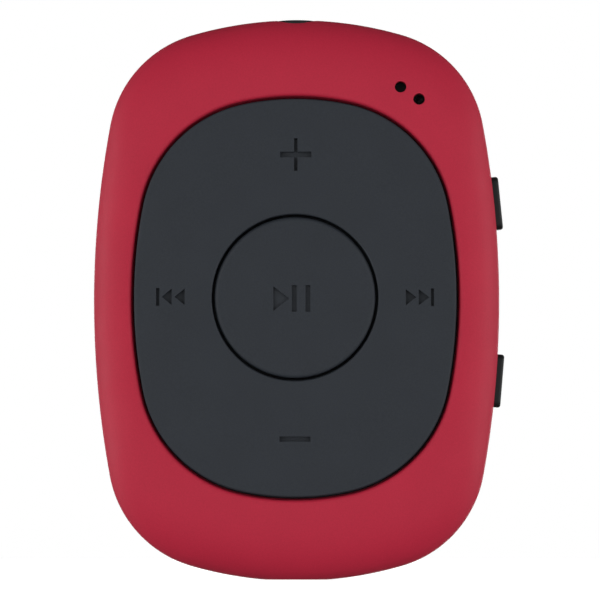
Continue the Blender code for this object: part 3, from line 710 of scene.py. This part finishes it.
def make_headphone_jack():
    """A square moulded body with a round nose, bored from the top, and two contact leaves."""
    top = SHELL_HIGH.z - 0.01
    body = box("socket_body", JACK_LOW, (JACK_HIGH.x, JACK_HIGH.y, JACK_BODY_TOP), 0.25)
    outside = [(JACK_NOSE, -3.2), (JACK_NOSE, -0.12), (JACK_NOSE - 0.03, -0.04), (JACK_NOSE - 0.08, 0.0)]
    inside = [(JACK_BORE + 0.08, 0.0), (JACK_BORE + 0.02, -0.04), (JACK_BORE, -0.12), (JACK_BORE, -3.2)]
    nose = turned("nose", outside + inside, (0, JACK_Y, top), (0, 0, 1), steps=72, closed=True)
    carve(body, [rod("bore", (0, JACK_Y, JACK_LOW.z + 1.2), (0, JACK_Y, top + 2), JACK_BORE, 72)])
    carve(body, [nose], "UNION")
    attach(body, "casing")
    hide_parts("headphone_jack")
    leaves = []
    half, sheet = 0.5, 0.12
    bends = ((1.78, 0.0), (1.5, 1.2), (1.42, 1.9), (1.5, 2.6), (1.78, 3.4))
    for side, low in ((-1, 40.4), (1, 43.2)):
        rings = []
        for reach, rise in bends:
            corners = ((reach, -half), (reach + sheet, -half), (reach + sheet, half), (reach, half))
            rings.append([(side * x, JACK_Y + y, low + rise) for x, y in corners])
        leaves.append(loft("leaf", rings))
    contacts = join("socket_contacts", leaves)
    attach(contacts, "casing")
    return body, contacts


def make_microphone_boot():
    """The rubber tube between the hole and the microphone, with a dark woven mesh across its front as painted
    shade that keeps the hole black.
    """
    low, high = node_box("microphone_gasket")
    middle = (low + high) / 2
    outer, inner = high.x - middle.x, 0.45
    length = high.y - low.y
    tube_wall = [(inner, 0.0), (outer - 0.05, 0.0), (outer, 0.05), (outer, length), (inner, length)]
    boot = turned("tube", tube_wall, (middle.x, low.y, middle.z), (0, 1, 0), closed=True)
    # a dark woven mesh across the tube's front: painted shade that keeps the microphone hole black
    threads = []
    pitch, thread_radius = 0.12, 0.04
    warp_y = low.y + 0.15
    weft_y = warp_y + 0.06
    for n in range(-3, 4):
        offset = n * pitch
        reach = sqrt(inner ** 2 - offset ** 2)
        threads.append(rod("warp", (middle.x - reach, warp_y, middle.z + offset),
                           (middle.x + reach, warp_y, middle.z + offset), thread_radius, 8))
        threads.append(rod("weft", (middle.x + offset, weft_y, middle.z - reach),
                           (middle.x + offset, weft_y, middle.z + reach), thread_radius, 8))
    boot = join("microphone_boot", [boot, *threads])
    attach(boot, "casing")
    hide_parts("microphone_gasket")
    return boot


def make_usb_socket():
    """A folded steel shell with a flared mouth, and a moulded tongue that carries five contacts."""
    low, high = node_box("usb_socket")
    middle = (low + high) / 2
    half_a, half_b = (high.z - low.z) / 2, (high.y - low.y) / 2

    def ring(x, shrink):
        outline = rounded_rectangle(half_a - shrink, half_b - shrink, max(0.1, 0.5 - shrink))
        return [(x, middle.y + b, middle.z + a) for a, b in outline]

    def slab(name, x_ends, y_ends, half_z, z, *edges):
        return box(name, (x_ends[0], middle.y + y_ends[0], z - half_z),
                   (x_ends[1], middle.y + y_ends[1], z + half_z), *edges)

    sheet = 0.25
    folds = ((low.x, 0.0), (high.x - 0.1, 0.0), (high.x, 0.1), (high.x, 1.0), (high.x - 0.6, sheet),
             (low.x + 0.35, sheet), (low.x, 0.12))
    shell = loft("usb_shell", [ring(*fold) for fold in folds], closed=True)
    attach(shell, "casing")
    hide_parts("usb_socket")
    tongue = slab("usb_tongue", (low.x + 0.65, high.x - 0.5), (-0.3, 0.3), 2.4, middle.z, 0.08)
    base = slab("usb_base", (high.x - 0.9, high.x - 0.4), (-0.85, 0.85), 3.2, middle.z, 0.05)
    carve(tongue, [base], "UNION")
    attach(tongue, "casing")
    x_ends, y_ends, pitch = (low.x + 0.85, high.x - 0.9), (-0.36, -0.24), 0.65
    strips = [slab("strip", x_ends, y_ends, 0.14, middle.z + n * pitch, 0.03, 1) for n in range(-2, 3)]
    contacts = join("usb_contacts", strips)
    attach(contacts, "casing")
    return shell, tongue, contacts


# ------------------------ clip

CLIP_INNER = 8.35  # depth of the bar's face towards the casing
CLIP_TOP = 46.0
CLIP_FOOT = 2.3  # half widths of its lower and upper ends
CLIP_TAB = 5.4
JAW = 6.45  # depth of the jaw's face


def ease(t):
    """A soft step, from 0 to 1."""
    t = min(1.0, max(0.0, t))
    return t * t * (3 - 2 * t)


def bulge(t):
    """A quarter ellipse, from 0 to 1."""
    return sqrt(max(0.0, 1.0 - (1.0 - min(1.0, max(0.0, t))) ** 2))


def clip_section(z, wide, outer):
    """Half width, front and back of the clip bar at height z."""
    lower = CLIP_FOOT + (wide - CLIP_FOOT) * bulge(z / 5.0)
    upper = CLIP_TAB + (wide - CLIP_TAB) * bulge((CLIP_TOP - z) / 4.5)
    jaw = (CLIP_INNER - JAW) * (ease((z - 0.6) / 4.4) - ease((z - 9.5) / 3.5))
    front = CLIP_INNER - jaw + 0.4 * (1 - bulge(z / 0.7)) + 0.3 * (1 - bulge((CLIP_TOP - z) / 1.2))
    back = outer - 0.4 * (1 - bulge(z / 1.8)) - 0.35 * (1 - bulge((CLIP_TOP - z) / 1.8))
    return min(lower, upper), front, back


def make_clip_arm():
    """A flat bar with a jaw at the bottom and a grooved thumb tab above the hinge."""
    high = node_box("clip_arm")[1]
    wide, outer = high.x, high.y
    fine = [0.0, 0.03, 0.08, 0.15, 0.25, 0.38, 0.55, 0.75]
    heights = fine + [1.0 + 0.25 * i for i in range(52)] + [14.0 + i for i in range(27)]
    heights += [40.5 + 0.25 * i for i in range(18)] + [CLIP_TOP - z for z in reversed(fine)]
    rings = []
    for z in heights:
        half, front, back = clip_section(z, wide, outer)
        outline = rounded_rectangle(half, (back - front) / 2, min(0.55, (back - front) * 0.32))
        rings.append([(a, (front + back) / 2 + b, z) for a, b in outline])
    arm = loft("clip_bar", rings)
    carve(arm, [knuckle("ear", left, right, CLIP_INNER + 0.45, EAR_RADIUS) for left, right in EARS], "UNION")
    cutters = [hinge_bore(5.2)]
    groove_y, groove_radius = outer + 0.34, 0.5
    for n in range(5):
        z = 41.3 + n * 0.85
        reach = 5.6 - 0.25 * n
        cutters.append(rod("groove", (-reach, groove_y, z), (reach, groove_y, z), groove_radius))
    carve(arm, cutters)
    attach(arm, "clip")
    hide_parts("clip_arm")
    return arm


def make_grip_pad():
    """A strip of rubber in the jaw, with ribs across it."""
    low, high = node_box("clip_grip_pad")
    ribs, per_rib, rib_depth = 6, 8, 0.12
    count = ribs * per_rib
    front = []
    for i in range(count + 1):
        z = low.z + (high.z - low.z) * i / count
        front.append((low.y + rib_depth * (0.5 + 0.5 * cos(2 * pi * i / per_rib)) ** 0.7, z))
    section = [*front, (JAW + 0.05, high.z), (JAW + 0.05, low.z)]
    half = high.x
    middle_y, middle_z = (low.y + high.y) / 2, (low.z + high.z) / 2

    def ring(x, shrink):
        return [(x, middle_y + (y - middle_y) * (1 - shrink), middle_z + (z - middle_z) * (1 - shrink * 0.3))
                for y, z in section]

    ends = ((-half, 0.25), (-half + 0.06, 0.08), (-half + 0.15, 0.0),
            (half - 0.15, 0.0), (half - 0.06, 0.08), (half, 0.25))
    pad = loft("grip_pad", [ring(*end) for end in ends], smooth_angle=50)
    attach(pad, "clip")
    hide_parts("clip_grip_pad")
    return pad


def make_pin():
    """The hinge pin, with rounded ends."""
    half = node_box("clip_pin")[1].x
    profile = [(0.0, -half), (0.3, -half), (0.43, -half + 0.05), (0.5, -half + 0.14), (0.5, half - 0.14),
               (0.43, half - 0.05), (0.3, half), (0.0, half)]
    pin = turned("hinge_pin", profile, PIN_MIDDLE, (1, 0, 0), steps=32)
    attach(pin, "casing")
    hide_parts("clip_pin")
    return pin


def tube(name, points, radius, sides=12):
    """A round wire along points, with flat ends."""
    points = [Vector(p) for p in points]
    bm = bmesh.new()
    normal = None
    rings = []
    for i, point in enumerate(points):
        ahead = points[min(i + 1, len(points) - 1)] - points[max(i - 1, 0)]
        ahead.normalize()
        if normal is None:
            normal = ahead.orthogonal().normalized()
        normal = (normal - ahead * normal.dot(ahead)).normalized()
        across = ahead.cross(normal)
        rings.append([point + (normal * cos(a) + across * sin(a)) * radius
                      for a in (2 * pi * k / sides for k in range(sides))])
    skin(bm, rings)
    return mesh_object(name, bm, 50)


def make_spring():
    """A torsion spring round the pin: one leg on the casing's back, one on the thumb tab."""
    wire, coil_radius, half, leg = 0.2, 0.9, 1.9, 4.5
    clearance = 0.02
    per_turn = 36
    count = int(4.5 * per_turn)
    y0, z0 = PIN_MIDDLE.y, PIN_MIDDLE.z
    coil = []
    for i in range(count + 1):
        angle = pi + 2 * pi * i / per_turn
        x = -half + 2 * half * i / count
        coil.append((x, y0 + coil_radius * cos(angle), z0 + coil_radius * sin(angle)))
    fixed_end = Vector((-half, BACK + wire + clearance, z0 + leg))
    clip_end = Vector((half, CLIP_INNER - wire - clearance, z0 + leg))
    fixed_leg = [fixed_end.lerp(Vector(coil[0]), i / 8) for i in range(8)]
    clip_leg = [Vector(coil[-1]).lerp(clip_end, i / 8) for i in range(1, 9)]
    spring = tube("torsion_spring", [*fixed_leg, *coil, *clip_leg], wire)
    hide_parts("clip_spring")
    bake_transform(spring)
    return spring


# ------------------------ materials

def new_material(name):
    made = bpy.data.materials.new(name)
    made.use_nodes = True
    tree = made.node_tree
    shader = next(node for node in tree.nodes if node.type == "BSDF_PRINCIPLED")
    return made, tree, shader


def object_coordinates(tree, stretch=None):
    """Object coordinates, squeezed along an axis where a finish runs one way."""
    source = tree.nodes.new("ShaderNodeTexCoord").outputs["Object"]
    if stretch is None:
        return source
    mapping = tree.nodes.new("ShaderNodeMapping")
    mapping.inputs["Scale"].default_value = stretch
    tree.links.new(source, mapping.inputs["Vector"])
    return mapping.outputs["Vector"]


def noise(tree, coordinates, size, detail=2.0, roughness=0.5):
    """A noise whose spots are about size millimetres across."""
    node = tree.nodes.new("ShaderNodeTexNoise")
    node.inputs["Scale"].default_value = 1 / (size * MM)
    node.inputs["Detail"].default_value = detail
    node.inputs["Roughness"].default_value = roughness
    tree.links.new(coordinates, node.inputs["Vector"])
    return node.outputs["Fac"]


def spread(tree, source, low, high, from_low=0.3, from_high=0.7):
    """Map a noise onto a range of values."""
    node = tree.nodes.new("ShaderNodeMapRange")
    node.inputs["From Min"].default_value = from_low
    node.inputs["From Max"].default_value = from_high
    node.inputs["To Min"].default_value = low
    node.inputs["To Max"].default_value = high
    tree.links.new(source, node.inputs["Value"])
    return node.outputs["Result"]


def two_tone(tree, factor, first, second):
    """A colour that goes from first to second with the factor."""
    node = tree.nodes.new("ShaderNodeMix")
    node.data_type = "RGBA"
    node.inputs[6].default_value = (*first, 1.0)
    node.inputs[7].default_value = (*second, 1.0)
    tree.links.new(factor, node.inputs[0])
    return node.outputs[2]


def add_values(tree, first, second, weight):
    """The first value, plus the second times a weight."""
    node = tree.nodes.new("ShaderNodeMath")
    node.operation = "MULTIPLY_ADD"
    tree.links.new(second, node.inputs[0])
    node.inputs[1].default_value = weight
    tree.links.new(first, node.inputs[2])
    return node.outputs[0]


def bump(tree, shader, height, strength, depth):
    """Raise the surface by height times depth millimetres."""
    node = tree.nodes.new("ShaderNodeBump")
    node.inputs["Strength"].default_value = strength
    node.inputs["Distance"].default_value = depth * MM
    tree.links.new(height, node.inputs["Height"])
    tree.links.new(node.outputs["Normal"], shader.inputs["Normal"])


def moulded(name, colour, roughness, grain=0.14, depth=0.004, strength=0.5, variation=0.05, shine=0.5,
            metallic=0.0, stretch=None, mottle=5.0):
    """A moulded or rolled surface: mottled colour, uneven gloss and a fine grain."""
    made, tree, shader = new_material(name)
    shader.inputs["Metallic"].default_value = metallic
    shader.inputs["Specular IOR Level"].default_value = shine
    place = object_coordinates(tree, stretch)
    broad = noise(tree, place, mottle, 3.0)
    fine = noise(tree, place, grain, 2.0, 0.6)
    mixed = add_values(tree, fine, broad, 0.4)
    dark = [c * (1 - variation) for c in colour]
    light = [min(1.0, c * (1 + variation)) for c in colour]
    tone = two_tone(tree, spread(tree, mixed, 0.0, 1.0, 0.45, 0.95), dark, light)
    tree.links.new(tone, shader.inputs["Base Color"])
    gloss = noise(tree, place, mottle * 0.4, 4.0)
    tree.links.new(spread(tree, gloss, roughness - 0.03, roughness + 0.03), shader.inputs["Roughness"])
    bump(tree, shader, fine, strength, depth)
    return made


def paint(made, finish):
    """Give an object, new or CAD, one finish all over."""
    slots = made.data.materials
    if len(slots):
        for n in range(len(slots)):
            slots[n] = finish
    else:
        slots.append(finish)


RED = moulded("red_satin", (0.405, 0.0165, 0.0405), 0.56, grain=0.13, depth=0.003, strength=0.8,
              variation=0.08, shine=0.17)
SLATE = moulded("slate_satin", (0.0196, 0.0236, 0.0299), 0.5, grain=0.13, depth=0.003, strength=0.8,
                variation=0.14, shine=0.2)
BUTTON_BLACK = moulded("button_black", (0.008, 0.0095, 0.010), 0.45, grain=0.12, shine=0.2)
CLIP_BLACK = moulded("clip_black", (0.014, 0.015, 0.017), 0.55, grain=0.22, depth=0.012, strength=0.7,
                     shine=0.35)
CONNECTOR_BLACK = moulded("connector_black", (0.005, 0.005, 0.006), 0.36, grain=0.2, depth=0.002, shine=0.25)
SILICONE = moulded("grey_silicone", (0.12, 0.12, 0.13), 0.65, grain=0.2, variation=0.06)
GRIP = moulded("grip_rubber", (0.018, 0.018, 0.019), 0.75, grain=0.16, depth=0.01, strength=0.7,
               variation=0.12)
STEEL = moulded("nickel_steel", (0.56, 0.57, 0.58), 0.28, grain=0.1, depth=0.0015, metallic=1.0,
                stretch=(0.15, 1, 1), variation=0.08)
SPRING = moulded("spring_wire", (0.42, 0.42, 0.43), 0.3, grain=0.08, depth=0.001, metallic=1.0,
                 stretch=(0.3, 1, 1), variation=0.1)
GOLD = moulded("gilt_contact", (0.78, 0.55, 0.22), 0.26, grain=0.1, depth=0.001, metallic=1.0, variation=0.06)
CHIP = moulded("chip_epoxy", (0.014, 0.014, 0.015), 0.5, grain=0.1, depth=0.006, strength=0.7, variation=0.15)
FOIL = moulded("battery_foil", (0.52, 0.53, 0.55), 0.36, grain=1.6, depth=0.06, strength=0.4, metallic=0.85)
FOAM = moulded("foam_tape", (0.03, 0.03, 0.032), 0.95, grain=0.25, depth=0.06, strength=0.9, variation=0.3)
RED_LEAD = moulded("red_insulation", (0.45, 0.012, 0.012), 0.4, grain=0.3, depth=0.003)
BLACK_LEAD = moulded("black_insulation", (0.012, 0.012, 0.012), 0.4, grain=0.3, depth=0.003, variation=0.1)
LAMP = moulded("lamp_ceramic", (0.72, 0.70, 0.64), 0.4, grain=0.15, depth=0.003)


def make_board_finish():
    """Green solder resist with the raised lines of copper tracks under it."""
    made, tree, shader = new_material("board_resist")
    place = object_coordinates(tree)
    tracks = tree.nodes.new("ShaderNodeTexBrick")
    tracks.inputs["Scale"].default_value = 1 / (3.0 * MM)
    tracks.inputs["Mortar Size"].default_value = 0.035
    tracks.inputs["Color1"].default_value = (0.0, 0.0, 0.0, 1.0)
    tracks.inputs["Color2"].default_value = (0.15, 0.15, 0.15, 1.0)
    tracks.inputs["Mortar"].default_value = (1.0, 1.0, 1.0, 1.0)
    turn = tree.nodes.new("ShaderNodeMapping")
    turn.inputs["Rotation"].default_value = (pi / 2, 0, 0)
    tree.links.new(place, turn.inputs["Vector"])
    tree.links.new(turn.outputs["Vector"], tracks.inputs["Vector"])
    tone = two_tone(tree, tracks.outputs["Color"], (0.008, 0.07, 0.028), (0.02, 0.13, 0.05))
    tree.links.new(tone, shader.inputs["Base Color"])
    fine = noise(tree, place, 0.3, 3.0)
    tree.links.new(spread(tree, fine, 0.28, 0.4), shader.inputs["Roughness"])
    bump(tree, shader, tracks.outputs["Color"], 0.5, 0.03)
    return made


def make_light_pipe_finish():
    """Near-black plastic with a frosted face: the near-black colour is painted shade that keeps the lamp hole
    black.
    """
    made, tree, shader = new_material("light_pipe_painted_shade")
    shader.inputs["Transmission Weight"].default_value = 0.25
    shader.inputs["Specular IOR Level"].default_value = 0.05
    place = object_coordinates(tree)
    # near-black colour: painted shade that keeps the lamp hole black
    tone = two_tone(tree, noise(tree, place, 0.3), (0.0016, 0.0014, 0.0015), (0.0026, 0.0023, 0.0024))
    tree.links.new(tone, shader.inputs["Base Color"])
    fine = noise(tree, place, 0.12)
    tree.links.new(spread(tree, fine, 0.35, 0.5), shader.inputs["Roughness"])
    bump(tree, shader, fine, 0.3, 0.002)
    return made


CAD_FINISHES = {
    "rocker_pad": SILICONE, "keypad_mat": SILICONE, "main_board": make_board_finish(), "microphone": STEEL,
    "audio_chip": CHIP, "memory_chip": CHIP, "battery": FOIL, "battery_foam": FOAM,
    "battery_lead_positive": RED_LEAD, "battery_lead_negative": BLACK_LEAD, "status_lamp": LAMP,
    "light_pipe": make_light_pipe_finish(),
}
for key in ("volume_up", "volume_down", "previous", "next", "play", "upper_side", "lower_side"):
    CAD_FINISHES[f"{key}_switch"] = STEEL


# ------------------------ stage

HORIZON_LIGHT = 0.19
ZENITH_LIGHT = 0.08
FLOOR_RADIUS = 4000.0
FLOOR_DROP = 0.02  # keeps the floor clear of the foot
FLOOR_GLOW = 0.92  # brings what the lights leave of the floor up to white
FRONT_FILL = 1.09  # strengths of the two lights in line with the depth
BACK_FILL = 1.5
SIDE_LIGHTS = (  # name, degrees to either side of the front, strength, degrees across
    ("front_softbox", 42, 0.85, 50),
    ("softbox", 82, 1.0, 50),
    ("rim", 106, 0.68, 40),
)
CAMERA_DISTANCE = 450.0
CAMERA_AIM = (0.274, 0.65, MIDDLE_Z + 0.067)
CAMERA_RIGHT = 0.030  # how far the camera stands to the right, for each mm of distance
CAMERA_HEIGHT = 2.0
PICTURE_WIDTH = 53.76344086  # what the picture shows, across the place it is aimed at
SENSOR_WIDTH = 36.0


def make_world():
    """White to the eye, and a softer grey as a light, brighter at the horizon than overhead."""
    world = bpy.data.worlds.new("light_tent")
    bpy.context.scene.world = world
    world.use_nodes = True
    tree = world.node_tree
    tree.nodes.clear()
    add, link = tree.nodes.new, tree.links.new
    lighting = add("ShaderNodeBackground")
    seen = add("ShaderNodeBackground")
    for node in (lighting, seen):
        node.inputs["Color"].default_value = (1.0, 1.0, 1.0, 1.0)
    which = add("ShaderNodeLightPath")
    mix = add("ShaderNodeMixShader")
    out = add("ShaderNodeOutputWorld")
    direction = add("ShaderNodeTexCoord")
    split = add("ShaderNodeSeparateXYZ")
    steepness = add("ShaderNodeMath")
    steepness.operation = "ABSOLUTE"
    link(direction.outputs["Generated"], split.inputs[0])
    link(split.outputs["Z"], steepness.inputs[0])
    glow = spread(tree, steepness.outputs[0], HORIZON_LIGHT, ZENITH_LIGHT, 0.0, 1.0)
    link(glow, lighting.inputs["Strength"])
    link(which.outputs["Is Camera Ray"], mix.inputs[0])
    link(lighting.outputs[0], mix.inputs[1])
    link(seen.outputs[0], mix.inputs[2])
    link(mix.outputs[0], out.inputs["Surface"])


def make_floor():
    """A wide pale floor that fades into the white round it."""
    bm = bmesh.new()
    bmesh.ops.create_circle(bm, cap_ends=True, segments=96, radius=FLOOR_RADIUS)
    bmesh.ops.translate(bm, vec=(0, 0, -FLOOR_DROP), verts=bm.verts)
    floor = mesh_object("floor", bm)
    made, tree, shader = new_material("pale_floor")
    shader.inputs["Roughness"].default_value = 0.9
    shader.inputs["Specular IOR Level"].default_value = 0.1
    link = tree.links.new
    tone = two_tone(tree, noise(tree, object_coordinates(tree), 40.0), (0.40, 0.40, 0.40), (0.43, 0.43, 0.43))
    link(tone, shader.inputs["Base Color"])
    glow = tree.nodes.new("ShaderNodeEmission")
    glow.inputs["Strength"].default_value = FLOOR_GLOW
    both = tree.nodes.new("ShaderNodeAddShader")
    out = next(node for node in tree.nodes if node.type == "OUTPUT_MATERIAL")
    link(shader.outputs[0], both.inputs[0])
    link(glow.outputs[0], both.inputs[1])
    link(both.outputs[0], out.inputs["Surface"])
    paint(floor, made)
    floor.visible_diffuse = False
    floor.visible_glossy = False
    floor.visible_shadow = False


def make_sun(name, azimuth, strength, spread_angle):
    """A soft level light from far off; azimuth 0 is straight in front and 90 to the right."""
    light = bpy.data.lights.new(name, "SUN")
    light.energy = strength
    light.angle = radians(spread_angle)
    made = new_object(name, light)
    towards = Vector((sin(radians(azimuth)), -cos(radians(azimuth)), 0.0))
    made.rotation_euler = towards.to_track_quat("Z", "Y").to_euler()
    made.location = towards * 0.5


def make_lights():
    make_sun("front_fill", 0, FRONT_FILL, 100)
    for side, sign, level in (("left", -1, 1.0), ("right", 1, 0.93)):
        for kind, azimuth, strength, spread_angle in SIDE_LIGHTS:
            make_sun(f"{side}_{kind}", sign * azimuth, strength * level, spread_angle)
    make_sun("back_fill", 180, BACK_FILL, 40)


def make_camera():
    """Almost straight in front, a little right of the middle and low, as the photographed angle is."""
    aim = Vector(CAMERA_AIM)
    place = Vector((CAMERA_RIGHT * CAMERA_DISTANCE, aim.y - CAMERA_DISTANCE, CAMERA_HEIGHT))
    camera = bpy.data.cameras.new("camera")
    camera.sensor_width = SENSOR_WIDTH
    camera.lens = SENSOR_WIDTH * (place - aim).length / PICTURE_WIDTH
    camera.clip_start = 0.01
    camera.clip_end = 20.0
    made = new_object("camera", camera)
    made.location = place * MM
    made.rotation_euler = (place - aim).to_track_quat("Z", "Y").to_euler()
    bpy.context.scene.camera = made


# ------------------------ build

paint(make_front_shell(), RED)
paint(make_rear_shell(), RED)
make_screws()
paint(make_rocker_plate(), SLATE)
paint(make_play_button(), SLATE)
make_side_buttons()
jack, jack_contacts = make_headphone_jack()
paint(jack, CONNECTOR_BLACK)
paint(jack_contacts, GOLD)
usb_shell, usb_tongue, usb_contacts = make_usb_socket()
paint(usb_shell, STEEL)
paint(usb_tongue, CONNECTOR_BLACK)
paint(usb_contacts, GOLD)
paint(make_microphone_boot(), GRIP)
paint(make_clip_arm(), CLIP_BLACK)
paint(make_grip_pad(), GRIP)
paint(make_pin(), STEEL)
paint(make_spring(), SPRING)
for n in range(1, 5):
    paint(bpy.data.objects[f"screw_{n}"], STEEL)
for name in BUTTON_SEATS:
    paint(bpy.data.objects[f"{name}_button"], BUTTON_BLACK)
for name, finish in CAD_FINISHES.items():
    paint(NODES[name], finish)

make_world()
make_floor()
make_lights()
make_camera()
bpy.context.scene.view_settings.view_transform = "Standard"
